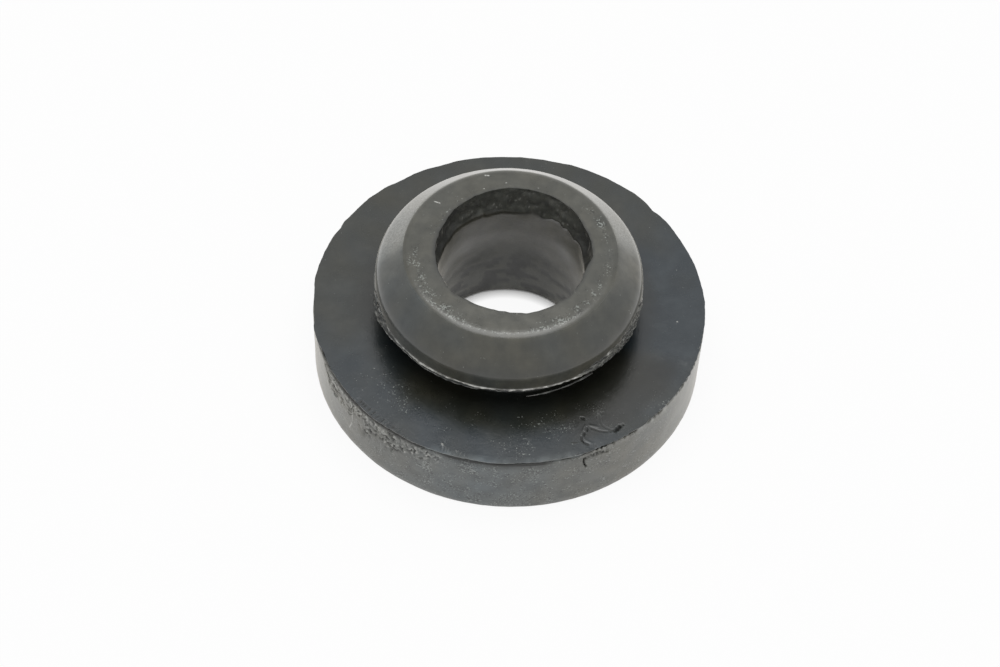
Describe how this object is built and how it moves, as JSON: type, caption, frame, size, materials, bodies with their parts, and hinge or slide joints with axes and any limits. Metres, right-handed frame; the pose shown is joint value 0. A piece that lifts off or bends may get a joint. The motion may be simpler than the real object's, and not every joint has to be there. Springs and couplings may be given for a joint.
{
  "type": "radiator mount cushion",
  "caption": "One-piece black rubber grommet: a wide flange, a bracket groove, a barbed snap-in head and a through bore that grips a radiator's locating pin.",
  "frame": {"origin": "centre of the flange's underside, on the axis of the bore", "axes": "+Z along the bore axis, from the flange to the barbed head; every direction across it is alike"},
  "size_m": [0.04, 0.0398, 0.0163],
  "materials": {
    "rubber": "moulded black rubber, satin, dusty and scuffed, torn and knife-trimmed at its flash"
  },
  "bodies": {
    "root": {"mount_cushion": "rubber"}
  },
  "joints": []
}
